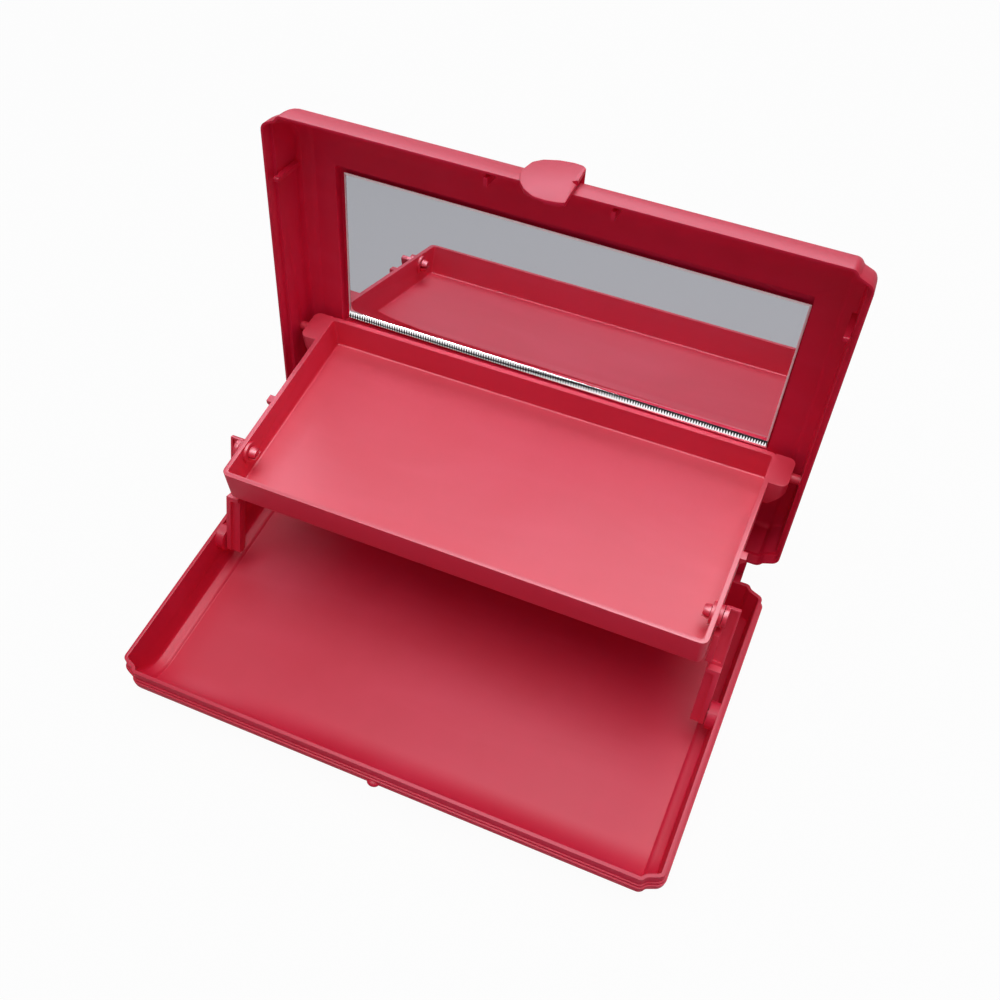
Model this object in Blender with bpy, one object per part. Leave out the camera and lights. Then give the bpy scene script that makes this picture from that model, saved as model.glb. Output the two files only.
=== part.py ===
# A hinged plastic makeup organizer, modelled fully open: a shallow base, a lid with a mirror, and a
# tray that two swing arms and the lid carry as a parallelogram. Metres, +Z up, X along the hinge.
# The origin is the middle of the base's underside; the front is at -Y.
import math

import bmesh
import bpy
from mathutils import Matrix, Vector

mm = 0.001

# Driving dimensions of the two shells
case_width = 240 * mm
case_depth = 145.9 * mm
half_width = case_width / 2
half_depth = case_depth / 2
side_wall = 2.6 * mm
floor_wall = 2.0 * mm
# Seen from above each corner dips in: a round, a hollow, a straight slope and a wide round
corner_length = 9.6 * mm       # from the case's end to where the first round begins
corner_round = 3.4 * mm
corner_hollow = 2.0 * mm
corner_turn = math.radians(60)
corner_slope = math.radians(22)
corner_end_round = 4.0 * mm
corner_rise = 0.4              # how much of that dip the floor takes too
end_rise = 3.0 * mm            # the floor's round at each end
corner_steps = (5, 4, 6)       # facets of the round, the hollow and the end's round
smallest_round = 0.8 * mm
base_height = 18.5 * mm        # underside to the shoulder that the lid closes on
base_round_reach = 21.5 * mm   # the wide round along the front, outside
base_round_rise = 15.5 * mm
base_rear_radius = 2.5 * mm
base_rear_radius_inside = 2.0 * mm
tongue_height = 5.0 * mm
neck_height = 1.5 * mm
neck_setback = 0.6 * mm
tongue_setback = 1.2 * mm
rear_wall = 3.4 * mm
tongue_rear_shift = 0.75 * mm  # the rear tongue lies further in, clear of the lid's swinging lip
lid_height = 25.7 * mm
lid_wall = 2.2 * mm
lid_round_reach = 19.5 * mm
lid_round_rise = 22.7 * mm
lid_rear_radius = 4.0 * mm
lid_rear_radius_inside = 2.5 * mm
lip_thickness = 0.9 * mm
base_draft = 1.5 * mm
lid_draft = 1.0 * mm

# Clearances
resting_gap = 0.3 * mm         # between parts that close on each other
running_gap = 0.08 * mm        # between a pin and the hole it turns in
bond_gap = 0.15 * mm           # between a glued face and its bed
open_pivot_gap = 0.3 * mm      # between the arm's snap pin and the tray's hole

# The linkage, in the plane of Y and Z: hinge to ear pin equals base pivot to snap pin
open_angle = math.radians(99.3)
hinge_behind_wall = 6.88 * mm
hinge_above_rim = 3.79 * mm
link_reach = 17.48 * mm
link_rise = 45.63 * mm

# Hinge
barrel_radius = 3.2 * mm
hinge_pin_radius = 1.3 * mm
leaf_side_space = 12.7 * mm    # from the case's outside to the leaf's end
leaf_half_width = half_width - leaf_side_space
leaf_thickness = 1.8 * mm
ledge_reach = 6.2 * mm         # of the base's ledge under the hinge
ledge_height = 2.4 * mm
ledge_top = 18.4 * mm
knuckle_length = 8.0 * mm
base_knuckle_length = 15.5 * mm
knuckle_gap = 0.4 * mm

# Tray
tray_side_space = 14.6 * mm    # from the case's outside to the tray, where the arms swing
tray_width = case_width - 2 * tray_side_space
tray_depth = 98.5 * mm
tray_height = 16.8 * mm
tray_wall = 2.0 * mm
tray_tilt = math.radians(1.95)
tray_corner_radius = 3.0 * mm
tray_corner_radius_inside = 1.4 * mm
tray_bottom_radius = 2.6 * mm
tray_bottom_radius_inside = 0.8 * mm
ear_length = 7.8 * mm          # outward from the tray's side
ear_span = 15.9 * mm           # from front to rear
ear_rear_space = 0.1 * mm
ear_tip_height = 6.0 * mm
ear_root_height = 13.5 * mm
ear_pin_rear_space = 7.45 * mm # from the pin's axis to the tray's rear edge
ear_pin_along = tray_depth - ear_pin_rear_space
ear_pin_below_rim = 3.2 * mm
ear_pin_radius = 2.05 * mm
ear_pin_setback = 0.9 * mm     # its end lies this far inside the case's outside
snap_pin_along = 17.85 * mm    # from the tray's front edge, along its rim
snap_pin_below_rim = 5.34 * mm
tray_boss_radius = 4.3 * mm
tray_ring_radius = 4.7 * mm
tray_ring_height = 1.2 * mm
lug_along = 42.3 * mm
lug_span = 3.7 * mm
lug_reach = 2.4 * mm

# Swing arms
arm_space = 1.7 * mm           # between the tray's side and the arm
arm_thickness = 5.8 * mm
arm_half_width = 3.1 * mm
arm_top_end = 4.0 * mm         # beyond the snap pin's axis
arm_front_end = 4.0 * mm       # beyond the base pivot, at the arm's front and rear
arm_rear_end = 6.7 * mm
arm_shoulder = 24.5 * mm       # above it the arm is only a thin blade with a shallow recess
arm_blade_front = 0.7 * mm     # behind the pivots' plane
arm_recess_start = 26 * mm
arm_recess_depth = 1.0 * mm
arm_inner_rim = 1.3 * mm
arm_outer_rim = 0.9 * mm
arm_hub_radius = 4.0 * mm
arm_strip_end = 22.5 * mm
arm_rib = (28.5 * mm, 42 * mm)
arm_rib_reach = 1.2 * mm
arm_pin_radius = 2.1 * mm
boss_space = 0.5 * mm          # between the arm and the base's boss
base_boss_radius = 5.9 * mm
base_pin_setback = 2.0 * mm
snap_head_radius = 3.1 * mm
snap_tip_radius = 2.5 * mm
snap_head_length = 2.8 * mm
snap_slot = 1.2 * mm

# Mirror, in the lid's pocket
mirror_side_space = 20.6 * mm  # from the case's outside to the mirror
mirror_width = case_width - 2 * mirror_side_space
mirror_height = 71.0 * mm
mirror_thickness = 1.0 * mm
mirror_turn = math.radians(0.5)
mirror_aside = 0.3 * mm        # it lies a little to the right in its pocket
mirror_middle = 78.3 * mm      # from the lid's hinge edge
mirror_front = 26.0 * mm       # below the lid's rim
mirror_chamfer = 0.3 * mm
pocket_side_gap = 1.55 * mm
pocket_near_gap = 1.4 * mm
pocket_far_gap = 4.4 * mm
pocket_aside = -0.6 * mm
pad_thickness = 0.7 * mm
pad_width = 8 * mm
pad_end_space = 25 * mm        # from the mirror's end to the pad's
pad_edge_space = 12.5 * mm     # from the mirror's long edge to the pad's middle

# Guide teeth inside the lid, two at its sides and two at its front
side_tooth_along = 118 * mm    # from the lid's hinge edge
side_tooth_width = 2.0 * mm
side_tooth_reach = 2.2 * mm
side_tooth_top = 1.3 * mm      # below the rim
side_tooth_foot = 19.0 * mm
front_tooth_aside = 25 * mm    # from the middle
front_tooth_width = 1.6 * mm
front_tooth_reach = 3.4 * mm
front_tooth_top = 0.6 * mm
front_tooth_foot = 11.0 * mm

# Catch
clasp_proud = 3.3 * mm
clasp_lip = 1.9 * mm
clasp_edge = 0.5 * mm          # the round along its edges
nub_half_size = (2.75 * mm, 2.2 * mm, 1.3 * mm)
nub_height = 14.5 * mm

lid_rim = base_height + resting_gap
rabbet_depth = tongue_height
hinge_axis = Vector((0, half_depth + hinge_behind_wall, lid_rim + hinge_above_rim))
# The base pivot lies from the hinge as the snap pin lies from the ear pin
ear_to_snap = Vector((0, snap_pin_along - ear_pin_along, ear_pin_below_rim - snap_pin_below_rim))
base_pivot = hinge_axis + Matrix.Rotation(tray_tilt, 3, "X") @ ear_to_snap
link = Vector((0, link_reach, link_rise))
arm_length = link.length
arm_lean = math.atan2(link_reach, link_rise)
ear_axis = hinge_axis + link
ear_reach = tray_width / 2 + ear_length
ear_pin_end = half_width - ear_pin_setback
arm_inner = tray_width / 2 + arm_space
arm_outer = arm_inner + arm_thickness
base_boss_face = arm_outer + boss_space
base_pin_end = half_width - base_pin_setback
pocket_half_width = mirror_width / 2 + pocket_side_gap
pocket_near = mirror_middle - mirror_height / 2 - pocket_near_gap
pocket_far = mirror_middle + mirror_height / 2 + pocket_far_gap
# The ear pin's place in the lid, as the closed lid sees it
ear_in_lid = Matrix.Rotation(open_angle, 3, "X") @ link
pocket_floor = mirror_front + mirror_thickness + pad_thickness + 2 * bond_gap
round_steps = 40


def clear_scene():
    for obj in list(bpy.data.objects):
        bpy.data.objects.remove(obj, do_unlink=True)


def make_material(name, color, roughness, metallic=0.0):
    material = bpy.data.materials.new(name)
    material.use_nodes = True
    shader = material.node_tree.nodes["Principled BSDF"]
    shader.inputs["Base Color"].default_value = (*color, 1)
    shader.inputs["Roughness"].default_value = roughness
    shader.inputs["Metallic"].default_value = metallic
    return material


def arc(center, radii, start, end, steps):
    """Points along an ellipse's stretch, angles in degrees."""
    angles = [math.radians(start + (end - start) * k / steps) for k in range(steps + 1)]
    return [(center[0] + radii[0] * math.cos(a), center[1] + radii[1] * math.sin(a)) for a in angles]


def rounded(corners, steps=4):
    """An outline from corners (a, b, radius), each sharp corner turned into an arc."""
    points = []
    for i, (a, b, radius) in enumerate(corners):
        here = Vector((a, b))
        if radius == 0:
            points.append((a, b))
            continue
        back = (Vector(corners[i - 1][:2]) - here).normalized()
        ahead = (Vector(corners[(i + 1) % len(corners)][:2]) - here).normalized()
        half = back.angle(ahead) / 2
        center = here + (back + ahead).normalized() * radius / math.sin(half)
        first = here + back * radius / math.tan(half) - center
        last = here + ahead * radius / math.tan(half) - center
        turn = math.atan2(first.x * last.y - first.y * last.x, first.dot(last))
        for k in range(steps + 1):
            spoke = Matrix.Rotation(turn * k / steps, 2) @ first
            points.append((center.x + spoke.x, center.y + spoke.y))
    return points


def along_x(points, low, high):
    """A prism whose outline is (y, z), between two X values."""
    return prism([(low, y, z) for y, z in points], Vector((high - low, 0, 0)))


def along_y(points, low, high):
    """A prism whose outline is (x, z), between two Y values."""
    return prism([(x, low, z) for x, z in points], Vector((0, high - low, 0)))


def along_z(points, low, high):
    """A prism whose outline is (x, y), between two Z values."""
    return prism([(x, y, low) for x, y in points], Vector((0, 0, high - low)))


def prism(points, travel):
    bm = bmesh.new()
    face = bm.faces.new([bm.verts.new(p) for p in points])
    made = bmesh.ops.extrude_face_region(bm, geom=[face])
    moved = [item for item in made["geom"] if isinstance(item, bmesh.types.BMVert)]
    bmesh.ops.translate(bm, verts=moved, vec=travel)
    bmesh.ops.recalc_face_normals(bm, faces=bm.faces[:])
    return bm


def loft(rings):
    bm = bmesh.new()
    rows = [[bm.verts.new(p) for p in ring] for ring in rings]
    count = len(rows[0])
    for near, far in zip(rows, rows[1:]):
        for i in range(count):
            k = (i + 1) % count
            bm.faces.new((near[i], near[k], far[k], far[i]))
    bm.faces.new(rows[0])
    bm.faces.new(rows[-1])
    bmesh.ops.connect_verts_nonplanar(bm, angle_limit=0.0001, faces=bm.faces[:])
    bmesh.ops.recalc_face_normals(bm, faces=bm.faces[:])
    return bm


def box(low, high):
    x0, y0, z0 = low
    x1, y1, z1 = high
    return along_z([(x0, y0), (x1, y0), (x1, y1), (x0, y1)], z0, z1)


def pin(radius, low, high, y=0.0, z=0.0, end_radius=None):
    """A round pin along X; end_radius, at the high end, makes it a cone."""
    bm = bmesh.new()
    bmesh.ops.create_cone(
        bm, cap_ends=True, segments=round_steps, radius1=radius,
        radius2=radius if end_radius is None else end_radius, depth=abs(high - low),
    )
    turn = Matrix.Rotation(math.radians(90 if high > low else -90), 4, "Y")
    move = Matrix.Translation(((low + high) / 2, y, z))
    bmesh.ops.transform(bm, matrix=move @ turn, verts=bm.verts[:])
    return bm


def mirrored(bm):
    """The same shape on the other side of X = 0."""
    bmesh.ops.scale(bm, vec=(-1, 1, 1), verts=bm.verts[:])
    bmesh.ops.recalc_face_normals(bm, faces=bm.faces[:])
    return bm


def put(name, bm, material=None, parent=None, location=(0, 0, 0), rotation=(0, 0, 0)):
    mesh = bpy.data.meshes.new(name)
    bm.to_mesh(mesh)
    bm.free()
    mesh.shade_smooth()
    mesh.set_sharp_from_angle(angle=math.radians(35))
    obj = bpy.data.objects.new(name, mesh)
    bpy.context.scene.collection.objects.link(obj)
    obj.location = location
    obj.rotation_euler = rotation
    obj.parent = parent
    if material:
        mesh.materials.append(material)
    return obj


def boolean(target, bm, operation):
    """Joins a shape to the target or cuts it out; the shape is in the target's own frame."""
    tool = put(f"{target.name}_tool_{len(target.modifiers)}", bm, parent=target)
    tool.hide_render = True
    tool.display_type = "WIRE"
    modifier = target.modifiers.new(f"{operation.lower()} {len(target.modifiers)}", "BOOLEAN")
    modifier.operation = operation
    modifier.solver = "EXACT"
    modifier.object = tool


def join(target, bm):
    boolean(target, bm, "UNION")


def cut(target, bm):
    boolean(target, bm, "DIFFERENCE")


def join_both_sides(target, make):
    join(target, make())
    join(target, mirrored(make()))


def cut_both_sides(target, make):
    cut(target, make())
    cut(target, mirrored(make()))


def corner_curve(inset):
    """One corner seen from above, from the long side to the end: (x, y) in the first quadrant."""
    start = half_width - corner_length
    round_center = (start, half_depth - corner_round)
    spread = corner_round + corner_hollow
    hollow_center = (start + spread * math.sin(corner_turn),
                     round_center[1] + spread * math.cos(corner_turn))
    slope_start = (hollow_center[0] - corner_hollow * math.sin(corner_slope),
                   hollow_center[1] - corner_hollow * math.cos(corner_slope))
    end_x = half_width - corner_end_round
    run = end_x + corner_end_round * math.sin(corner_slope) - slope_start[0]
    end_y = slope_start[1] - run * math.tan(corner_slope) - corner_end_round * math.cos(corner_slope)
    turn = math.degrees(corner_turn)
    slope = math.degrees(corner_slope)
    near = corner_round - inset
    far = corner_end_round - inset
    hollow = corner_hollow + inset
    points = arc(round_center, (near, near), 90, 90 - turn, corner_steps[0])
    points += arc(hollow_center, (hollow, hollow), 270 - turn, 270 - slope, corner_steps[1])
    points += arc((end_x, end_y), (far, far), 90 - slope, 0, corner_steps[2])
    return points


def tub_section(shape, dip, rise):
    """The (y, depth) outline of a shell: straight rear wall, wide round at the front."""
    front = -(shape["half_depth"] - dip)
    rear = shape["rear"] - dip
    deep = shape["deep"] - rise
    round_reach = shape["reach"] - dip
    round_rise = shape["rise"] - rise
    small = max(shape["rear_radius"] - rise, smallest_round)
    points = [(front, shape["mouth"])]
    points += arc((front + round_reach, deep - round_rise), (round_reach, round_rise), 180, 90, 12)
    points += arc((rear - small, deep - small), (small, small), 90, 0, 5)
    points.append((rear, shape["mouth"]))
    return points


def tub(shape, place):
    """A shell's outer or inner body. place turns (x, y, depth) into a point."""
    mouth = shape["mouth"]
    curve = corner_curve(shape["wall"])
    top = half_depth - shape["wall"]
    end = half_width - shape["wall"]
    start_x = curve[0][0]
    round_x, round_y = curve[-1 - corner_steps[2]]
    half = []
    for x, y in curve:
        along = min(max(x - round_x, 0) / (end - round_x), 1)
        dip = top - y
        rise = corner_rise * (top - max(y, round_y)) + end_rise * (1 - math.sqrt(1 - along ** 2))
        lean = shape["draft"] * (x - start_x) / (end - start_x) / (shape["deep"] - mouth)
        section = tub_section(shape, dip, rise)
        half.append([(x - lean * (depth - mouth), across, depth) for across, depth in section])
    rings = [[place(-x, y, depth) for x, y, depth in ring] for ring in half[::-1]]
    rings += [[place(x, y, depth) for x, y, depth in ring] for ring in half]
    return loft(rings)


def plan_outline(inset, rear_shift=0.0):
    """The shells' outline from above; rear_shift moves its rear corners forward."""
    quarter = corner_curve(inset)[::-1]
    rear = [(a, b - rear_shift) for a, b in quarter]
    points = list(rear)
    points += [(-a, b) for a, b in rear[::-1]]
    points += [(-a, -b) for a, b in quarter]
    points += [(a, -b) for a, b in quarter[::-1]]
    return points


def base_place(x, y, depth):
    return (x, y, base_height - depth)


def lid_point(x, along, depth):
    """A place in the lid: along from its hinge edge, depth from its rim, as the closed lid lies."""
    return (x, -hinge_behind_wall - along, depth - hinge_above_rim)


def lid_place(x, y, depth):
    return lid_point(x, half_depth - y, depth)


def tray_point(x, along, below):
    """A place in the tray: along from its front edge, below its rim."""
    return (x, along - ear_pin_along, ear_pin_below_rim - below)


def hinge_stations():
    """The X ranges of the lid's and the base's knuckles on the right."""
    outer = (leaf_half_width - knuckle_length, leaf_half_width)
    middle = (outer[0] - knuckle_gap - base_knuckle_length, outer[0] - knuckle_gap)
    inner = (middle[0] - knuckle_gap - knuckle_length, middle[0] - knuckle_gap)
    return outer, middle, inner


def make_base(material):
    outside = {
        "wall": 0, "half_depth": half_depth, "rear": half_depth, "deep": base_height,
        "mouth": neck_height, "reach": base_round_reach, "rise": base_round_rise,
        "rear_radius": base_rear_radius, "draft": base_draft,
    }
    inside = {
        "wall": side_wall, "half_depth": half_depth - side_wall, "rear": half_depth - rear_wall,
        "deep": base_height - floor_wall, "mouth": -tongue_height - 1 * mm,
        "reach": base_round_reach - side_wall, "rise": base_round_rise - floor_wall,
        "rear_radius": base_rear_radius_inside, "draft": base_draft,
    }
    base = put("base_shell", tub(outside, base_place), material)
    root = base_height - neck_height - 2 * mm
    join(base, along_z(plan_outline(neck_setback), root, base_height))
    tongue_top = base_height + tongue_height
    join(base, along_z(plan_outline(tongue_setback, tongue_rear_shift), root - 0.5 * mm, tongue_top))
    join(base, box((-leaf_half_width, half_depth - 1 * mm, ledge_top - ledge_height),
                   (leaf_half_width, half_depth + ledge_reach, ledge_top)))
    cut(base, tub(inside, base_place))

    # Pivot bosses inside the side walls, with blind holes for the arms' pins
    y, z = base_pivot.y, base_pivot.z
    wall_middle = half_width - side_wall / 2
    hole_end = base_pin_end + resting_gap
    hole = arm_pin_radius + running_gap
    join_both_sides(base, lambda: pin(base_boss_radius, base_boss_face, wall_middle - 0.4 * mm, y, z))
    reach = 2 * base_boss_radius
    cut_both_sides(base, lambda: box((base_boss_face - 1 * mm, y - reach, tongue_top),
                                     (half_width + 1 * mm, y + reach, tongue_top + reach)))
    cut_both_sides(base, lambda: pin(hole, base_boss_face - 1 * mm, hole_end, y, z))

    # Catch nub on the front wall
    nub = bmesh.new()
    bmesh.ops.create_uvsphere(nub, u_segments=20, v_segments=12, radius=1)
    bmesh.ops.scale(nub, vec=nub_half_size, verts=nub.verts[:])
    bmesh.ops.translate(nub, vec=(0, -half_depth + 0.4 * mm, nub_height), verts=nub.verts[:])
    join(base, nub)

    # Knuckles behind the rear wall
    axis_y, axis_z = hinge_axis.y, hinge_axis.z
    wall_y = half_depth - side_wall / 2
    bracket = [
        (wall_y, base_height - 9.5 * mm), (axis_y + 2.3 * mm, axis_z - 2.2 * mm), (axis_y, axis_z),
        (axis_y - 2.8 * mm, axis_z - 1.5 * mm), (axis_y - 3.5 * mm, base_height + 0.4 * mm),
        (wall_y, base_height - 0.3 * mm),
    ]
    low, high = hinge_stations()[1]
    join_both_sides(base, lambda: along_x(bracket, low, high))
    join_both_sides(base, lambda: pin(barrel_radius, low, high, axis_y, axis_z))
    bore = hinge_pin_radius + running_gap
    cut_both_sides(base, lambda: pin(bore, low - 1 * mm, high + 1 * mm, axis_y, axis_z))
    return base


def clasp_outline():
    """The thumb tab seen from the front: (x, depth from the lid's rim)."""
    corners = [
        (10.8, -12.5, 0.6), (8.4, -13.7, 1.5), (4.0, -14.4, 3.0), (-1.0, -14.0, 3.0),
        (-5.5, -10.9, 3.0), (-9.0, -6.2, 3.0), (-11.0, -1.0, 3.0), (-11.3, 4.0, 3.0),
        (-10.5, 9.5, 3.0), (-7.5, 13.2, 2.5), (-2.0, 15.7, 3.0), (3.5, 16.6, 2.0),
        (7.2, 16.1, 1.5), (8.8, 14.6, 1.0),
    ]
    return rounded([(a * mm, b * mm, r * mm) for a, b, r in corners], 3)


def make_clasp_shapes():
    """The tab's outer plate, and the thicker root that joins it to the front wall."""
    face = case_depth + clasp_proud
    plate = along_y([(x, depth - hinge_above_rim) for x, depth in clasp_outline()],
                    lid_point(0, face, 0)[1], lid_point(0, face - clasp_lip, 0)[1])
    rims = [e for e in plate.edges if abs(e.verts[0].co.y - e.verts[1].co.y) < 0.01 * mm]
    bmesh.ops.bevel(plate, geom=rims, offset=clasp_edge, segments=2, profile=0.5, affect="EDGES")
    root_low = 0.2 * mm
    above_rim = [(x, max(depth, root_low)) for x, depth in clasp_outline() if depth > -2 * mm]
    root = along_y([(x, depth - hinge_above_rim) for x, depth in above_rim],
                   lid_point(0, face - 0.5 * mm, 0)[1], lid_point(0, case_depth - 4.5 * mm, 0)[1])
    return plate, root


def make_lid(material):
    outside = {
        "wall": 0, "half_depth": half_depth, "rear": half_depth, "deep": lid_height, "mouth": 0,
        "reach": lid_round_reach, "rise": lid_round_rise, "rear_radius": lid_rear_radius,
        "draft": lid_draft,
    }
    inside = {
        "wall": lid_wall, "half_depth": half_depth - lid_wall, "rear": half_depth - lid_wall,
        "deep": lid_height - floor_wall, "mouth": -1 * mm,
        "reach": lid_round_reach - lid_wall, "rise": lid_round_rise - floor_wall,
        "rear_radius": lid_rear_radius_inside, "draft": lid_draft,
    }
    lid = put("lid_shell", tub(outside, lid_place), material,
              location=hinge_axis, rotation=(-open_angle, 0, 0))
    for shape in make_clasp_shapes():
        join(lid, shape)

    # Raised plaque behind the mirror's pocket
    rim = 3.0 * mm
    plaque_x = pocket_half_width + rim
    low = lid_point(0, pocket_far + rim, 0)[1]
    high = lid_point(0, pocket_near - rim, 0)[1]
    left = pocket_aside - plaque_x
    right = pocket_aside + plaque_x
    outline = [(left, low, rim), (right, low, rim), (right, high, rim), (left, high, rim)]
    top = lid_point(0, 0, pocket_floor + floor_wall)[2]
    join(lid, along_z(rounded(outline), lid_point(0, 0, lid_height - 1 * mm)[2], top))

    cut(lid, tub(inside, lid_place))

    # The rabbet that takes the base's tongue all round
    shift = -hinge_behind_wall - half_depth
    cut(lid, along_z([(x, shift + y) for x, y in plan_outline(lip_thickness)],
                     lid_point(0, 0, -1 * mm)[2], lid_point(0, 0, rabbet_depth)[2]))

    # Mirror pocket
    low = lid_point(0, pocket_far, 0)[1]
    high = lid_point(0, pocket_near, 0)[1]
    edge = 1.0 * mm
    left = pocket_aside - pocket_half_width
    right = pocket_aside + pocket_half_width
    outline = [(left, low, edge), (right, low, edge), (right, high, edge), (left, high, edge)]
    cut(lid, along_z(rounded(outline, 2), lid_point(0, 0, lid_height - 5 * mm)[2],
                     lid_point(0, 0, pocket_floor)[2]))

    # Teeth inside the side walls and the front wall, which guide the tongue in
    tongue_inside = half_width - side_wall - resting_gap

    below_tongue = tongue_height + 1 * mm

    def side_tooth_outline(inset, top, foot):
        low = side_tooth_along - side_tooth_width / 2 + inset
        high = side_tooth_along + side_tooth_width / 2 - inset
        corners = [(low, top), (high, top), (high, foot), (low, foot)]
        return [lid_point(0, along, depth)[1:] for along, depth in corners]

    def side_tooth():
        outline = [(*corner, 0.7 * mm) for corner in side_tooth_outline(0, side_tooth_top, side_tooth_foot)]
        return along_x(rounded(outline, 3), tongue_inside - side_tooth_reach, tongue_inside)

    def side_tooth_root():
        outline = side_tooth_outline(0.1 * mm, below_tongue, side_tooth_foot - 0.5 * mm)
        inner = tongue_inside - side_tooth_reach + 0.7 * mm
        return along_x(outline, inner, half_width - side_wall + 0.6 * mm)

    join_both_sides(lid, side_tooth)
    join_both_sides(lid, side_tooth_root)

    def front_tooth():
        face = case_depth - side_wall - resting_gap
        back = face - front_tooth_reach
        wall = case_depth - lid_wall
        corners = [(front_tooth_top, back), (front_tooth_top, face), (below_tongue, face),
                   (below_tongue, wall + 0.9 * mm), (front_tooth_foot, wall + 0.3 * mm),
                   (front_tooth_foot, back)]
        outline = [lid_point(0, along, depth)[1:] for depth, along in corners]
        half = front_tooth_width / 2
        return along_x(outline, front_tooth_aside - half, front_tooth_aside + half)

    join_both_sides(lid, front_tooth)

    # Channel in the tab for the base's nub, and the small notch in its right edge
    inner_face = case_depth + clasp_proud - clasp_lip
    channel = nub_half_size[0] + 0.6 * mm
    cut(lid, box((-channel, lid_point(0, inner_face + 0.9 * mm, 0)[1], lid_point(0, 0, -16 * mm)[2]),
                 (channel, lid_point(0, inner_face - 1 * mm, 0)[1], lid_point(0, 0, -1.2 * mm)[2])))
    notch = [(12.0 * mm, 4.5 * mm), (8.6 * mm, 4.0 * mm), (7.6 * mm, 2.8 * mm), (8.6 * mm, 1.6 * mm),
             (12.0 * mm, 1.1 * mm)]
    cut(lid, along_y([(x, depth - hinge_above_rim) for x, depth in notch],
                     lid_point(0, case_depth + clasp_proud + 1 * mm, 0)[1],
                     lid_point(0, case_depth + 1.5 * mm, 0)[1]))

    # Holes for the tray's ear pins
    hole = ear_pin_radius + running_gap
    hole_start = ear_reach - 3 * mm
    cut_both_sides(lid, lambda: pin(hole, hole_start, half_width + 2 * mm, ear_in_lid.y, ear_in_lid.z))

    # Hinge leaf along the rear edge and its knuckles
    wall_y = -hinge_behind_wall - lip_thickness / 2
    leaf = [(wall_y, -barrel_radius), (0, -barrel_radius), (0, leaf_thickness - barrel_radius),
            (wall_y, leaf_thickness - barrel_radius)]
    join(lid, along_x(leaf, -leaf_half_width, leaf_half_width))
    outer, middle, inner = hinge_stations()
    notch_low = middle[0] - knuckle_gap
    notch_high = middle[1] + knuckle_gap
    notch_front = -barrel_radius - knuckle_gap
    cut_both_sides(lid, lambda: box((notch_low, notch_front, -barrel_radius - 1 * mm),
                                    (notch_high, 2 * mm, barrel_radius)))
    block = [(wall_y, 1 * mm - barrel_radius), (0, 1 * mm - barrel_radius), (0, barrel_radius),
             (wall_y, barrel_radius)]
    bore = hinge_pin_radius + running_gap
    for low, high in (outer, inner):
        join_both_sides(lid, lambda: along_x(block, low, high))
        join_both_sides(lid, lambda: pin(barrel_radius, low, high))
        cut_both_sides(lid, lambda: pin(bore, low - 0.2 * mm, high + 0.2 * mm))
    return lid


def make_mirror(material, lid):
    bm = bmesh.new()
    bmesh.ops.create_cube(bm, size=1)
    bmesh.ops.scale(bm, vec=(mirror_width, mirror_height, mirror_thickness), verts=bm.verts[:])
    front = [e for e in bm.edges if all(v.co.z < 0 for v in e.verts)]
    bmesh.ops.bevel(bm, geom=front, offset=mirror_chamfer, segments=1, profile=0.5, affect="EDGES")
    middle = lid_point(mirror_aside, mirror_middle, mirror_front + mirror_thickness / 2)
    return put("mirror", bm, material, lid, middle, (0, 0, mirror_turn))


def make_pads(material, lid):
    depth = mirror_front + mirror_thickness + bond_gap + pad_thickness / 2
    size = (mirror_width - 2 * pad_end_space, pad_width, pad_thickness)
    low = [-s / 2 for s in size]
    high = [s / 2 for s in size]
    aside = mirror_height / 2 - pad_edge_space
    places = {"mirror_pad_lower": mirror_middle - aside, "mirror_pad_upper": mirror_middle + aside}
    for name, along in places.items():
        put(name, box(low, high), material, lid, lid_point(mirror_aside, along, depth))


def rounded_tub(half_x, near, far, top, bottom, corner, under):
    """A box with round upright edges and a round bottom edge."""
    outline = [(-half_x, near, corner), (half_x, near, corner), (half_x, far, corner), (-half_x, far, corner)]
    bm = along_z(rounded(outline, 5), bottom, top)
    low = min(v.co.z for v in bm.verts)
    edges = [e for e in bm.edges if all(abs(v.co.z - low) < 0.01 * mm for v in e.verts)]
    bmesh.ops.bevel(bm, geom=edges, offset=under, segments=4, profile=0.5, affect="EDGES")
    return bm


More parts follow.
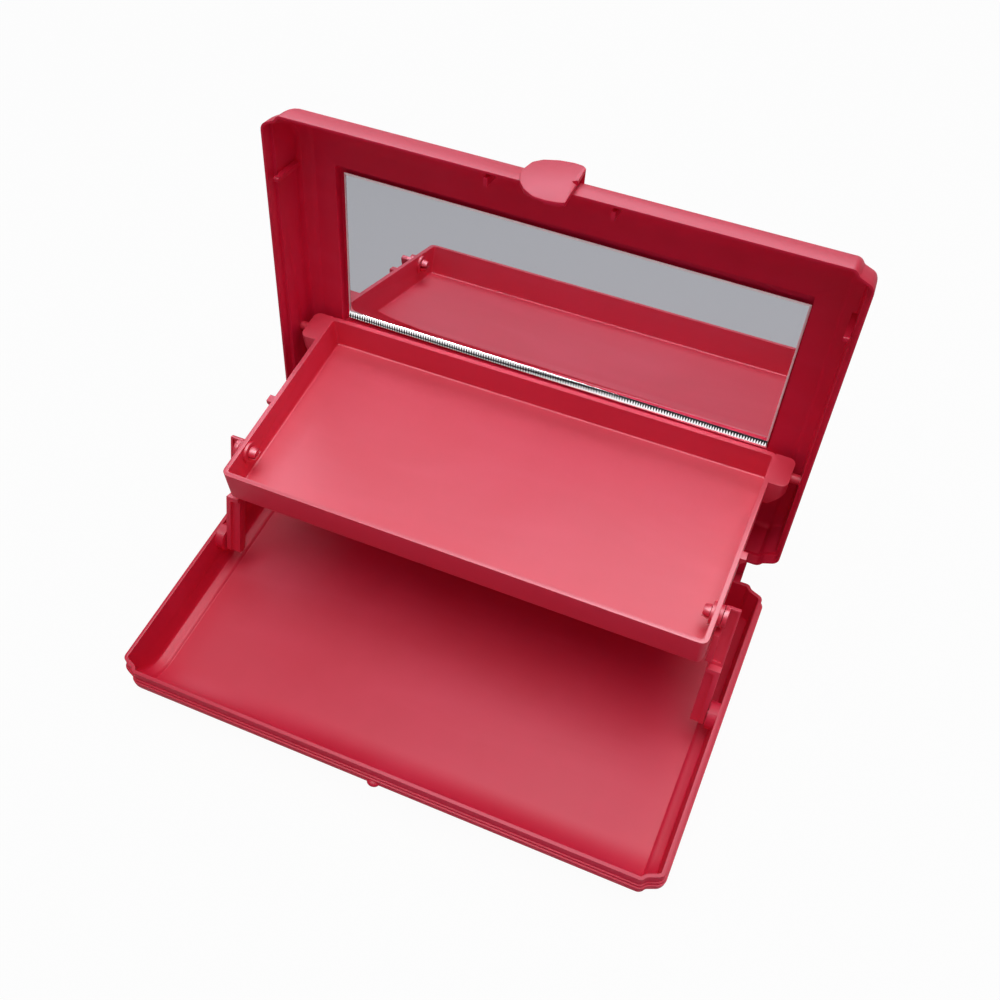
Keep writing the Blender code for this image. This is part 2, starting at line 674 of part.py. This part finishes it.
def make_tray(material):
    half_x = tray_width / 2
    near = tray_point(0, 0, 0)[1]
    far = tray_point(0, tray_depth, 0)[1]
    top = tray_point(0, 0, 0)[2]
    bottom = tray_point(0, 0, tray_height)[2]
    shape = rounded_tub(half_x, near, far, top, bottom, tray_corner_radius, tray_bottom_radius)
    tray = put("lift_tray", shape, material, location=ear_axis, rotation=(tray_tilt, 0, 0))
    ear_far = far - ear_rear_space
    ear_near = ear_far - ear_span

    def ear():
        corners = [(half_x - 1 * mm, 0), (ear_reach, 0), (ear_reach, ear_tip_height),
                   (half_x + 2 * mm, ear_root_height), (half_x - 1 * mm, ear_root_height)]
        outline = [(x, tray_point(0, 0, below)[2]) for x, below in corners]
        return along_y(outline, ear_near, ear_far)

    def ear_corner():
        """What the rounding takes off the ear's two upright outer corners."""
        radius = 3.0 * mm
        low = ear_near
        high = ear_far
        edge = 1 * mm
        inner = arc((ear_reach - radius, low + radius), (radius, radius), -90, 0, 5)
        inner += arc((ear_reach - radius, high - radius), (radius, radius), 0, 90, 5)
        frame = inner + [(ear_reach - radius, high + edge), (ear_reach + edge, high + edge),
                         (ear_reach + edge, low - edge), (ear_reach - radius, low - edge)]
        return along_z(frame, bottom, top + edge)

    def side_lug():
        corners = [(half_x - 1 * mm, 0), (half_x + lug_reach, 0), (half_x + lug_reach, 1.8 * mm),
                   (half_x - 0.4 * mm, 5.0 * mm), (half_x - 1 * mm, 5.0 * mm)]
        outline = [(x, tray_point(0, 0, below)[2]) for x, below in corners]
        return along_y(outline, near + lug_along, near + lug_along + lug_span)

    _, snap_y, snap_z = tray_point(0, snap_pin_along, snap_pin_below_rim)
    outer_ring = arm_inner - resting_gap
    join_both_sides(tray, ear)
    cut_both_sides(tray, ear_corner)
    join_both_sides(tray, lambda: pin(ear_pin_radius, ear_reach - 1 * mm, ear_pin_end))
    join_both_sides(tray, side_lug)
    join_both_sides(tray, lambda: pin(tray_boss_radius, half_x - 1 * mm, outer_ring, snap_y, snap_z))
    cut(tray, rounded_tub(half_x - tray_wall, near + tray_wall, far - tray_wall, top + 1 * mm,
                          bottom + tray_wall, tray_corner_radius_inside, tray_bottom_radius_inside))
    inner_face = half_x - tray_wall
    ring_face = inner_face - tray_ring_height
    join_both_sides(tray, lambda: pin(tray_ring_radius, ring_face, inner_face + 1 * mm, snap_y, snap_z))
    hole = arm_pin_radius + open_pivot_gap
    cut_both_sides(tray, lambda: pin(hole, inner_face - 3 * mm, outer_ring + 1 * mm, snap_y, snap_z))
    return tray


def make_arm(name, side, material):
    """A swing arm, upright in its own frame, with its lower pin's axis at the origin."""
    flip = mirrored if side < 0 else (lambda bm: bm)
    wide = arm_half_width
    top = arm_length + arm_top_end
    corners = [(-wide, -arm_front_end, 1.2 * mm), (wide, -arm_rear_end, 1.8 * mm),
               (wide, top, 1 * mm), (-wide, top, 1 * mm)]
    arm = put(name, flip(along_x(rounded(corners, 3), arm_inner, arm_outer)), material,
              location=base_pivot, rotation=(-arm_lean, 0, 0))
    front = -wide
    # Upper half: a thin blade with a recess between its rims. Lower half: the inner strip lies deeper
    cut(arm, flip(box((arm_inner - 1 * mm, front - 1 * mm, arm_shoulder),
                      (arm_outer + 1 * mm, arm_blade_front, top + 1 * mm))))
    cut(arm, flip(box((arm_inner + arm_inner_rim, front, arm_recess_start),
                      (arm_outer - arm_outer_rim, arm_blade_front + arm_recess_depth, top - arm_outer_rim))))
    cut(arm, flip(box((arm_inner - 1 * mm, front - 1 * mm, -arm_rear_end - 1 * mm),
                      (arm_outer - 2.1 * mm, front + 1.7 * mm, arm_strip_end))))
    join(arm, flip(box((arm_inner - arm_rib_reach, front - 0.9 * mm, arm_rib[0]),
                       (arm_inner + arm_inner_rim - 0.2 * mm, arm_blade_front + 0.9 * mm, arm_rib[1]))))
    join(arm, flip(pin(arm_hub_radius, arm_inner, arm_inner + arm_inner_rim + 0.5 * mm, 0, arm_length)))
    join(arm, flip(pin(arm_pin_radius, arm_outer - 0.8 * mm, base_pin_end)))
    # Split snap pin through the tray's side wall
    head = tray_width / 2 - tray_wall - tray_ring_height - resting_gap
    tip = head - snap_head_length
    join(arm, flip(pin(arm_pin_radius, head - 0.5 * mm, arm_inner + 0.6 * mm, 0, arm_length)))
    join(arm, flip(pin(snap_head_radius, head, tip, 0, arm_length, end_radius=snap_tip_radius)))
    wider = snap_head_radius + 1 * mm
    slot = box((tip - 1 * mm, -wider, -snap_slot / 2), (arm_inner - 1.1 * mm, wider, snap_slot / 2))
    level = Matrix.Translation((0, 0, arm_length)) @ Matrix.Rotation(arm_lean, 4, "X")
    bmesh.ops.transform(slot, matrix=level, verts=slot.verts[:])
    cut(arm, flip(slot))
    return arm


def make_hinge_pins(material):
    outer, _, inner = hinge_stations()
    low = inner[0] + resting_gap
    high = outer[1] - resting_gap
    put("hinge_pin_right", pin(hinge_pin_radius, low, high), material, location=hinge_axis)
    put("hinge_pin_left", pin(hinge_pin_radius, -high, -low), material, location=hinge_axis)


def main():
    clear_scene()
    coral = make_material("coral plastic", (0.72, 0.06, 0.10), 0.35)
    glass = make_material("mirror glass", (0.75, 0.77, 0.80), 0.03, 1.0)
    foam = make_material("adhesive foam", (0.82, 0.82, 0.80), 0.8)
    steel = make_material("pin steel", (0.60, 0.60, 0.62), 0.3, 1.0)
    make_base(coral)
    lid = make_lid(coral)
    make_mirror(glass, lid)
    make_pads(foam, lid)
    make_tray(coral)
    make_arm("swing_arm_right", 1, coral)
    make_arm("swing_arm_left", -1, coral)
    make_hinge_pins(steel)


main()
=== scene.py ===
import math

import bpy
from mathutils import Matrix, Vector


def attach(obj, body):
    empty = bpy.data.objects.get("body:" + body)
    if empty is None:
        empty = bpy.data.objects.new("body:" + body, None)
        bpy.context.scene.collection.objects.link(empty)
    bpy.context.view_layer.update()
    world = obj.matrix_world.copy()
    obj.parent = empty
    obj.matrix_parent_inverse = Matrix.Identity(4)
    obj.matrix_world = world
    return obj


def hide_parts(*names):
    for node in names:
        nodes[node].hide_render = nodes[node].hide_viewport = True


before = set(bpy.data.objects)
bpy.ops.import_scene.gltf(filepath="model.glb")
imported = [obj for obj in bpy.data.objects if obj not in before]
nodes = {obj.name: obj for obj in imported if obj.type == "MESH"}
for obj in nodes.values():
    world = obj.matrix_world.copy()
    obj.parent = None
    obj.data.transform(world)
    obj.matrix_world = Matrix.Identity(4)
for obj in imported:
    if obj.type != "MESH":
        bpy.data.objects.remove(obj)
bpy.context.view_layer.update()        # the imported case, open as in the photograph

mm = 0.001
print("frame loaded:", len(nodes), "nodes")


# One socket of a node tree. + - * / on it add Math nodes.
class Field:
    def __init__(self, sheet, socket):
        self.sheet = sheet
        self.socket = socket

    def math(self, operation, *values):
        inputs = dict(enumerate(values))
        return self.sheet.node("ShaderNodeMath", {"operation": operation}, inputs)

    def __add__(self, other):
        return self.math("ADD", self, other)

    def __radd__(self, other):
        return self.math("ADD", other, self)

    def __sub__(self, other):
        return self.math("SUBTRACT", self, other)

    def __rsub__(self, other):
        return self.math("SUBTRACT", other, self)

    def __mul__(self, other):
        return self.math("MULTIPLY", self, other)

    def __rmul__(self, other):
        return self.math("MULTIPLY", other, self)

    def __truediv__(self, other):
        return self.math("DIVIDE", self, other)

    def __rtruediv__(self, other):
        return self.math("DIVIDE", other, self)

    def atLeast(self, other):
        return self.math("MAXIMUM", self, other)

    def size(self):
        return self.math("ABSOLUTE", self)

    def sine(self):
        return self.math("SINE", self)


# A node tree, of a finish or of the world
class Sheet:
    def __init__(self, tree):
        self.tree = tree

    def join(self, value, slot):
        if isinstance(value, Field):
            self.tree.links.new(value.socket, slot)
        else:
            slot.default_value = value

    # Any node: its type, its settings, its sockets' values or links, and which output is used
    def node(self, kind, settings=None, inputs=None, out=0):
        made = self.tree.nodes.new(kind)
        for name, value in (settings or {}).items():
            setattr(made, name, value)
        for name, value in (inputs or {}).items():
            self.join(value, made.inputs[name])
        return Field(self, made.outputs[out])

    def ray(self, kind):
        return self.node("ShaderNodeLightPath", out="Is " + kind + " Ray")

    # Shows the second shader wherever the factor says so
    def twoLooks(self, factor, first, second, output):
        mixed = self.node("ShaderNodeMixShader", inputs={0: factor, 1: first, 2: second})
        self.join(mixed, self.tree.nodes[output].inputs["Surface"])


class Finish(Sheet):
    def __init__(self, name):
        self.material = bpy.data.materials.new(name)
        self.material.use_nodes = True
        super().__init__(self.material.node_tree)
        self.shader = self.tree.nodes["Principled BSDF"]
        self.place = self.node("ShaderNodeTexCoord", out="Object")

    def noise(self, scale, detail, rough, at=None, distortion=0.0):
        return self.node("ShaderNodeTexNoise", inputs={
            "Vector": at or self.place, "Scale": scale, "Detail": detail,
            "Roughness": rough, "Distortion": distortion,
        })

    def stretched(self, scale, turn=(0, 0, 0)):
        return self.node("ShaderNodeMapping", inputs={
            "Vector": self.place, "Scale": scale, "Rotation": turn,
        })

    # 0 below the first value, 1 above the second, and smooth between them
    def between(self, value, low, high):
        return self.node("ShaderNodeMapRange", {"interpolation_type": "SMOOTHSTEP"}, {
            "Value": value, "From Min": low, "From Max": high,
        })

    # Sockets 6 and 7 and output 2 of a Mix node are its colours
    def blend(self, factor, first, second):
        first, second = (c if isinstance(c, Field) else (*c, 1) for c in (first, second))
        colors = {0: factor, 6: first, 7: second}
        return self.node("ShaderNodeMix", {"data_type": "RGBA"}, colors, out=2)

    def bump(self, height, strength, distance):
        return self.node("ShaderNodeBump", inputs={
            "Height": height, "Strength": strength, "Distance": distance,
        })

    def set(self, values):
        for name, value in values.items():
            self.join(value, self.shader.inputs[name])
        return self.material


# One plastic, its colour lighter or darker per piece as painted light and shade, darkest on the
# lid, whose inside lies in shade; its gloss also differs per piece
plasticShadedPerPiece = {
    "lid": {
        "color": (0.66, 0.012, 0.054), "pale": (0.69, 0.024, 0.076), "deep": (0.61, 0.008, 0.041),
        "roughness": 0.46, "gloss": 0.13,
    },
    "base": {
        "color": (0.72, 0.018, 0.061), "pale": (0.75, 0.031, 0.081), "deep": (0.68, 0.013, 0.047),
        "roughness": 0.46, "gloss": 0.105,
    },
    "tray": {
        "color": (0.74, 0.023, 0.068), "pale": (0.79, 0.040, 0.094), "deep": (0.72, 0.020, 0.058),
        "roughness": 0.50, "gloss": 0.33,
    },
    "arm": {
        "color": (0.78, 0.026, 0.074), "pale": (0.81, 0.040, 0.096), "deep": (0.73, 0.018, 0.058),
        "roughness": 0.46, "gloss": 0.36,
    },
}

# What the tools share. A scale is per metre, a range is where a noise starts and ends to show.
skinMarks = {
    "cloudScale": 14, "cloudRange": (0.35, 0.7), "cloudRough": 0.16, "cloudHeight": 1.5,
    "flowScale": (9, 38, 38), "flowRange": (0.42, 0.75), "flowShare": 0.35,
    "grainScale": 2600, "grainRough": 0.10, "grainHeight": 0.25,
    "peelScale": 260, "peelHeight": 0.6,
    "scuffScale": (900, 60, 160), "scuffTurn": (0.3, 0.2, 0.6), "scuffRange": (0.66, 0.8),
    "scuffRough": 0.06,
    "bumpStrength": 0.22, "bumpDepth": 0.06,
}


def coralPlastic(kind):
    skin = Finish(kind + "Plastic")
    look, marks = plasticShadedPerPiece[kind], skinMarks
    cloud = skin.noise(marks["cloudScale"], detail=4, rough=0.55)
    flow = skin.noise(1, 3, 0.5, at=skin.stretched(marks["flowScale"]), distortion=0.6)
    color = skin.blend(skin.between(cloud, *marks["cloudRange"]), look["deep"], look["color"])
    flowing = skin.between(flow, *marks["flowRange"]) * marks["flowShare"]
    color = skin.blend(flowing, color, look["pale"])
    grain = skin.noise(marks["grainScale"], detail=2, rough=0.5)
    peel = skin.noise(marks["peelScale"], detail=2, rough=0.5)
    scuffs = skin.noise(1, 2, 0.5, at=skin.stretched(marks["scuffScale"], marks["scuffTurn"]))
    scuffs = skin.between(scuffs, *marks["scuffRange"])
    rough = look["roughness"] + (cloud - 0.5) * marks["cloudRough"]
    rough = rough + (grain - 0.5) * marks["grainRough"] + scuffs * marks["scuffRough"]
    height = grain * marks["grainHeight"] + peel * marks["peelHeight"]
    height = height + cloud * marks["cloudHeight"]
    return skin.set({
        "Base Color": color, "Roughness": rough, "Specular IOR Level": look["gloss"],
        "Normal": skin.bump(height, marks["bumpStrength"], marks["bumpDepth"] * mm),
    })


# Where the glass is ground, light runs white along it beside a dark band with teeth. Lengths are
# in mm. The band's places and sizes are shares of the strip's width, from its upper edge down.
groundGlass = {
    "lowerLeft": 68.84, "lowerFall": 0.00873, "halfLength": 99.4,
    "wideLeft": 3.3, "wideRight": 3.8,
    "bandLeft": 0.70, "bandRight": 0.06, "crossing": (0.30, 0.72), "bandWander": 0.10,
    "halfLeft": 0.25, "halfRight": 0.37, "edge": (-0.03, 0.05), "wanderScale": 120,
    "teeth": 1.2, "bite": 0.46, "teethWander": 6.0,
    "dark": (0.012, 0.010, 0.012), "white": (0.94, 0.93, 0.94),
    "roughness": 0.06, "grainScale": 1800, "grainRough": 0.10, "grainHeight": 0.02,
    "leans": 0.62,                   # slope that turns its face up to the light
}


# Places in mm, the way along from the left as 0 to 1, the strip's lower edge and its width there
def alongGround(skin):
    g = groundGlass
    x = skin.node("ShaderNodeSeparateXYZ", inputs={"Vector": skin.place}, out="X") / mm
    z = skin.node("ShaderNodeSeparateXYZ", inputs={"Vector": skin.place}, out="Z") / mm
    run = (x + g["halfLength"]) / (2 * g["halfLength"])
    low = g["lowerLeft"] - (x + g["halfLength"]) * g["lowerFall"]
    wide = g["wideLeft"] + run * (g["wideRight"] - g["wideLeft"])
    return x, z, run, low, wide


def mirrorGround():
    skin = Finish("mirrorGround")
    g = groundGlass
    x, z, run, low, wide = alongGround(skin)
    across = 1.0 - (z - low) / wide
    crossed = skin.between(run, *g["crossing"])
    middle = g["bandLeft"] + crossed * (g["bandRight"] - g["bandLeft"])
    wander = skin.noise(g["wanderScale"], detail=2, rough=0.5) - 0.5
    off = (across - middle - wander * g["bandWander"]).size()
    teeth = (x * (math.tau / g["teeth"]) + wander * g["teethWander"]).sine()
    half = g["halfLeft"] + run * (g["halfRight"] - g["halfLeft"])
    toothed = skin.between(off + teeth * (g["bite"] / 2) - half, *g["edge"])
    grain = skin.noise(g["grainScale"], detail=2, rough=0.5)
    lean = z * (-g["leans"] * mm) + grain * (g["grainHeight"] * mm)
    return skin.set({
        "Base Color": skin.blend(toothed, g["dark"], g["white"]),
        "Roughness": g["roughness"] + grain * g["grainRough"],
        "Metallic": 1.0, "Normal": skin.bump(lean, 1.0, 1.0),
    })


# The glass begins to bend at its reach in mm above the ground strip, up to a slope at the strip
glass = {
    "color": (0.71, 0.72, 0.76), "dull": (0.62, 0.63, 0.65), "roughness": 0.012,
    "smearScale": 28, "smearRange": (0.52, 0.78), "smearShare": 0.10, "smearRough": 0.03,
    "dustScale": 900, "dustRange": (0.70, 0.78), "dustShare": 0.08, "dustRough": 0.06,
    "waveScale": 6, "waveHeight": 0.02, "reachLeft": 4.8, "reachRight": 5.8, "bend": 0.245,
}


def mirrorGlass():
    skin = Finish("mirrorGlass")
    smear = skin.noise(glass["smearScale"], detail=4, rough=0.6, distortion=1.2)
    smear = skin.between(smear, *glass["smearRange"])
    dust = skin.noise(glass["dustScale"], detail=1, rough=0.5)
    dust = skin.between(dust, *glass["dustRange"])
    dulled = smear * glass["smearShare"] + dust * glass["dustShare"]
    rough = glass["roughness"] + smear * glass["smearRough"] + dust * glass["dustRough"]
    wave = skin.noise(glass["waveScale"], detail=1, rough=0.4) * (glass["waveHeight"] * mm)
    _, z, run, low, wide = alongGround(skin)
    reach = glass["reachLeft"] + run * (glass["reachRight"] - glass["reachLeft"])
    near = (low + wide + reach - z).atLeast(0.0)
    bent = near * near / reach * (glass["bend"] / 2 * mm)   # so it shows the tray's floor there
    return skin.set({
        "Base Color": skin.blend(dulled, glass["color"], glass["dull"]), "Roughness": rough,
        "Metallic": 1.0, "Normal": skin.bump(wave + bent, 1.0, 1.0),
    })


# The small finishes: one noise, stretched along x, y and z, moves each one's colour and roughness
smallFinishes = {
    # The bevel is pale like ground glass, with a pink tint that is painted reflection of the
    # coral walls around it
    "mirrorBevel": {
        "scale": (500, 500, 500), "dark": (0.90, 0.78, 0.80), "pale": (0.98, 0.91, 0.92),
        "roughness": 0.3, "metallic": 0.15, "bumpStrength": 0.2, "bumpDepth": 0.05,
    },
    # A dark grey line along the glass's left side only: painted shade, standing in for the shaded
    # pocket wall that the glass shows there
    "mirrorShadeLine": {
        "scale": (700, 700, 700), "dark": (0.10, 0.10, 0.11), "pale": (0.24, 0.23, 0.25),
        "roughness": 0.25, "metallic": 0.6, "bumpStrength": 0.2, "bumpDepth": 0.05,
    },
    "padFoam": {
        "scale": (1500, 1500, 1500), "dark": (0.70, 0.70, 0.67), "pale": (0.84, 0.84, 0.81),
        "roughness": 0.65, "metallic": 0.0, "bumpStrength": 0.5, "bumpDepth": 0.1,
    },
    "pinSteel": {
        "scale": (30, 2600, 2600), "dark": (0.48, 0.48, 0.50), "pale": (0.66, 0.66, 0.68),
        "roughness": 0.14, "metallic": 1.0, "bumpStrength": 0.3, "bumpDepth": 0.03,
    },
}
smallMarks = {"range": (0.3, 0.7), "rough": 0.2}


def smallFinish(name):
    skin = Finish(name)
    look = smallFinishes[name]
    marks = skin.noise(1, 3, 0.6, at=skin.stretched(look["scale"]))
    shown = skin.between(marks, *smallMarks["range"])
    return skin.set({
        "Base Color": skin.blend(shown, look["dark"], look["pale"]),
        "Roughness": look["roughness"] + marks * smallMarks["rough"],
        "Metallic": look["metallic"],
        "Normal": skin.bump(marks, look["bumpStrength"], look["bumpDepth"] * mm),
    })


finishes = {
    "lid": coralPlastic("lid"),
    "base": coralPlastic("base"),
    "tray": coralPlastic("tray"),
    "arm": coralPlastic("arm"),
    "glass": mirrorGlass(),
    "ground": mirrorGround(),
    "bevel": smallFinish("mirrorBevel"),
    "line": smallFinish("mirrorShadeLine"),
    "foam": smallFinish("padFoam"),
    "steel": smallFinish("pinSteel"),
}
print("finishes made:", len(finishes))


def pickOnly(obj):
    bpy.ops.object.select_all(action="DESELECT")
    obj.select_set(True)
    bpy.context.view_layer.objects.active = obj


def dressUp(obj, *names):
    obj.data.materials.clear()
    for name in names:
        obj.data.materials.append(finishes[name])


# The mould leaves every edge a little round. Widths are in mm, angles in degrees.
roundPieces = {
    "base_shell": {"name": "baseShell", "body": "base", "finish": "base", "width": 0.35},
    "lid_shell": {"name": "lidShell", "body": "lid", "finish": "lid", "width": 0.35},
    "lift_tray": {"name": "liftTray", "body": "tray", "finish": "tray", "width": 0.35},
    "swing_arm_left": {
        "name": "swingArmLeft", "body": "arm_left", "finish": "arm", "width": 0.3,
    },
    "swing_arm_right": {
        "name": "swingArmRight", "body": "arm_right", "finish": "arm", "width": 0.3,
    },
}
edges = {"merge": 0.01, "flat": 0.5, "sharp": 40, "segments": 3}


def roundEdges(node, name, width):
    pickOnly(nodes[node])
    bpy.ops.object.duplicate()
    piece = bpy.context.active_object
    piece.name = name
    bpy.ops.object.mode_set(mode="EDIT")
    bpy.ops.mesh.select_all(action="SELECT")
    bpy.ops.mesh.remove_doubles(threshold=edges["merge"] * mm)
    bpy.ops.mesh.dissolve_limited(angle_limit=math.radians(edges["flat"]))
    bpy.ops.object.mode_set(mode="OBJECT")
    bevel = piece.modifiers.new("edges", "BEVEL")
    bevel.width = width * mm
    bevel.segments = edges["segments"]
    bevel.limit_method = "ANGLE"
    bevel.angle_limit = math.radians(edges["sharp"])
    bevel.use_clamp_overlap = True
    bpy.ops.object.modifier_apply(modifier="edges")
    bpy.ops.object.shade_smooth_by_angle(angle=math.radians(edges["sharp"]))
    return piece


for node, plan in roundPieces.items():
    piece = roundEdges(node, plan["name"], plan["width"])
    dressUp(piece, plan["finish"])
    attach(piece, plan["body"])
    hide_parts(node)
print("shells, tray and arms rounded")

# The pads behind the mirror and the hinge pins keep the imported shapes
smallPieces = {
    "mirror_pad_lower": "foam", "mirror_pad_upper": "foam",
    "hinge_pin_left": "steel", "hinge_pin_right": "steel",
}
for node, finish in smallPieces.items():
    dressUp(nodes[node], finish)

# The mirror in mm, in the closed lid's axes: x along the hinge, -y from it to the clasp, z into
# the lid. It is made around its own middle, face down, with its lower edge at +y.
mirror = {
    "width": 198.8, "height": 71.0, "thickness": 1.0, "aside": 0.3, "middle": 78.3, "front": 26.0,
    "turn": 0.5, "bevelWidth": 0.8, "bevelDepth": 0.2, "lineWidth": 0.2,
}
ground = {
    "proud": 0.06, "sunk": 0.1, "sideGap": 0.1, "lowerGap": 0.05, "inset": 0.04, "crown": 0.02,
}
lid = {"hinge": (0, 79.83, 22.59), "behindWall": 6.88, "aboveRim": 3.79, "open": 99.3}


# Puts a piece that was made around the mirror's middle where the open lid has it
def intoLid(piece):
    inLid = Vector((
        mirror["aside"],
        -mirror["middle"] - lid["behindWall"],
        mirror["front"] - lid["aboveRim"],
    ))
    piece.matrix_world = (
        Matrix.Translation(Vector(lid["hinge"]) * mm)
        @ Matrix.Rotation(math.radians(-lid["open"]), 4, "X")
        @ Matrix.Translation(inLid * mm)
        @ Matrix.Rotation(math.radians(mirror["turn"]), 4, "Z")
    )
    pickOnly(piece)
    bpy.ops.object.transform_apply(location=True, rotation=True, scale=True)


def block(name, low, high):
    bpy.ops.object.select_all(action="DESELECT")
    center = [(a + b) / 2 * mm for a, b in zip(low, high)]
    bpy.ops.mesh.primitive_cube_add(size=1, location=center)
    piece = bpy.context.active_object
    piece.name = name
    piece.scale = [(b - a) * mm for a, b in zip(low, high)]
    bpy.ops.object.transform_apply(location=True, rotation=True, scale=True)
    return piece


# Goes to edit mode with only the faces or vertices that pass the test selected
def pick(piece, kind, test):
    pickOnly(piece)
    bpy.ops.object.mode_set(mode="EDIT")
    bpy.ops.mesh.select_mode(type=kind)
    bpy.ops.mesh.select_all(action="DESELECT")
    bpy.ops.object.mode_set(mode="OBJECT")
    for item in (piece.data.polygons if kind == "FACE" else piece.data.vertices):
        item.select = test(item)
    bpy.ops.object.mode_set(mode="EDIT")


def facesDown(face):
    return face.normal.z < -0.99


def leans(face):
    return 0.5 < abs(face.normal.z) < 0.99


def mirrorPlate():
    halfX, halfY = mirror["width"] / 2, mirror["height"] / 2
    low, high = (-halfX, -halfY, mirror["bevelDepth"]), (halfX, halfY, mirror["thickness"])
    plate = block("mirrorPlate", low, high)
    pick(plate, "FACE", facesDown)
    bpy.ops.mesh.inset(thickness=mirror["bevelWidth"] * mm)
    bpy.ops.transform.translate(value=(0, 0, -mirror["bevelDepth"] * mm))
    bpy.ops.mesh.inset(thickness=mirror["lineWidth"] * mm)
    bpy.ops.object.mode_set(mode="OBJECT")
    # The line at the left is painted shade, and the bevel's pink is painted reflection
    dressUp(plate, "glass", "line", "bevel")
    besideBevel = mirror["bevelWidth"] + mirror["lineWidth"]   # the left line lies within this
    for face in plate.data.polygons:
        if leans(face):
            face.material_index = 2
        elif facesDown(face) and face.center.x < (besideBevel - halfX) * mm:
            face.material_index = 1
    intoLid(plate)
    return plate


# The ground strip along the lower edge, wider at its right end
def mirrorGroundStrip():
    halfX = mirror["width"] / 2 - ground["sideGap"]
    halfY = mirror["height"] / 2 - ground["lowerGap"]
    upper = halfY - groundGlass["wideLeft"]
    low, high = (-halfX, upper, -ground["proud"]), (halfX, halfY, ground["sunk"])
    strip = block("mirrorGroundStrip", low, high)
    pick(strip, "VERT", lambda v: v.co.x > 0 and v.co.y < (upper + halfY) / 2 * mm)
    wider = groundGlass["wideLeft"] - groundGlass["wideRight"]
    bpy.ops.transform.translate(value=(0, wider * mm, 0))
    bpy.ops.object.mode_set(mode="OBJECT")
    pick(strip, "FACE", facesDown)
    bpy.ops.mesh.inset(thickness=ground["inset"] * mm)
    bpy.ops.transform.translate(value=(0, 0, -ground["crown"] * mm))
    bpy.ops.object.mode_set(mode="OBJECT")
    dressUp(strip, "ground")
    intoLid(strip)
    return strip


plate = mirrorPlate()
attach(plate, "lid")
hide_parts("mirror")
strip = mirrorGroundStrip()
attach(strip, "lid")

# The studio: a pale floor, white to the camera and partly to what mirrors it, and soft lamps
studio = {
    "floorSize": 6, "floorGap": 0.2 * mm, "floorPale": (0.70, 0.70, 0.71), "floorRough": 0.9,
    "floorSheen": 0.1,
    "floorGlow": 0.96,               # how much of the floor's look is plain white
    "floorGloss": 0.10,              # and of its look in mirrors
    "worldColor": (0.96, 0.97, 1.0), "worldLight": 0.275,
}
# Places and sizes in metres. Haze and rim only draw the sheen on upward faces.
lamps = {
    "topLamp": {
        "place": (0.10, 0.00, 1.15), "aim": (0.02, 0.02, 0), "size": (1.1, 1.0),
        "power": 6.9, "color": (1, 1, 1), "lightsSkin": True,
    },
    "hazeLamp": {
        "place": (-0.03, 0.05, 1.20), "aim": (0, 0.03, 0.05), "size": (1.4, 0.7),
        "power": 84.0, "color": (0.94, 0.93, 1.0), "lightsSkin": False,
    },
    "rimLamp": {
        "place": (-0.35, 1.20, 1.00), "aim": (0, 0.12, 0.17), "size": (1.6, 0.8),
        "power": 48.0, "color": (0.84, 0.86, 1.0), "lightsSkin": False,
    },
}


def studioFloor():
    bpy.ops.object.select_all(action="DESELECT")
    under = (0, 0, -studio["floorGap"])
    bpy.ops.mesh.primitive_plane_add(size=studio["floorSize"], location=under)
    floor = bpy.context.active_object
    floor.name = "studioFloor"
    skin = Finish("studioFloor")
    skin.set({
        "Base Color": (*studio["floorPale"], 1), "Roughness": studio["floorRough"],
        "Specular IOR Level": studio["floorSheen"],
    })
    direct = skin.ray("Camera") * studio["floorGlow"]
    mirrored = skin.ray("Glossy").atLeast(skin.ray("Transmission")) * studio["floorGloss"]
    lit, white = Field(skin, skin.shader.outputs[0]), skin.node("ShaderNodeEmission")
    skin.twoLooks(direct.atLeast(mirrored), lit, white, "Material Output")
    floor.data.materials.append(skin.material)


def studioWorld():
    world = bpy.data.worlds.new("studioWorld")
    bpy.context.scene.world = world
    world.use_nodes = True
    sky = Sheet(world.node_tree)
    light = sky.tree.nodes["Background"]
    sky.join((*studio["worldColor"], 1), light.inputs["Color"])
    sky.join(studio["worldLight"], light.inputs["Strength"])
    white = sky.node("ShaderNodeBackground", inputs={"Color": (1, 1, 1, 1)})
    seen = sky.ray("Camera").atLeast(sky.ray("Glossy")).atLeast(sky.ray("Transmission"))
    sky.twoLooks(seen, Field(sky, light.outputs[0]), white, "World Output")


def softLamp(name):
    plan = lamps[name]
    bpy.ops.object.light_add(type="AREA", location=plan["place"])
    lamp = bpy.context.active_object
    lamp.name = name
    lamp.data.shape = "RECTANGLE"
    lamp.data.size, lamp.data.size_y = plan["size"]
    lamp.data.energy = plan["power"]
    lamp.data.color = plan["color"]
    toAim = Vector(plan["aim"]) - Vector(plan["place"])
    lamp.rotation_euler = toAim.to_track_quat("-Z", "Y").to_euler()
    lamp.visible_camera = False
    lamp.visible_diffuse = plan["lightsSkin"]


studioFloor()
studioWorld()
for name in lamps:
    softLamp(name)
print("studio lit")

# The camera stands where the photograph was taken from. Place in metres, turn in degrees.
view = {
    "place": (0.11818, -0.21490, 0.42268), "turn": (34.287, 0.039, 23.164),
    "lens": 39.556, "sensor": 36, "shift": (-0.005, 0.072), "near": 0.01,
}
turned = [math.radians(angle) for angle in view["turn"]]
bpy.ops.object.camera_add(location=view["place"], rotation=turned)
camera = bpy.context.active_object
camera.data.lens = view["lens"]
camera.data.sensor_width = view["sensor"]
camera.data.shift_x, camera.data.shift_y = view["shift"]
camera.data.clip_start = view["near"]
bpy.context.scene.camera = camera
bpy.context.scene.view_settings.view_transform = "Standard"
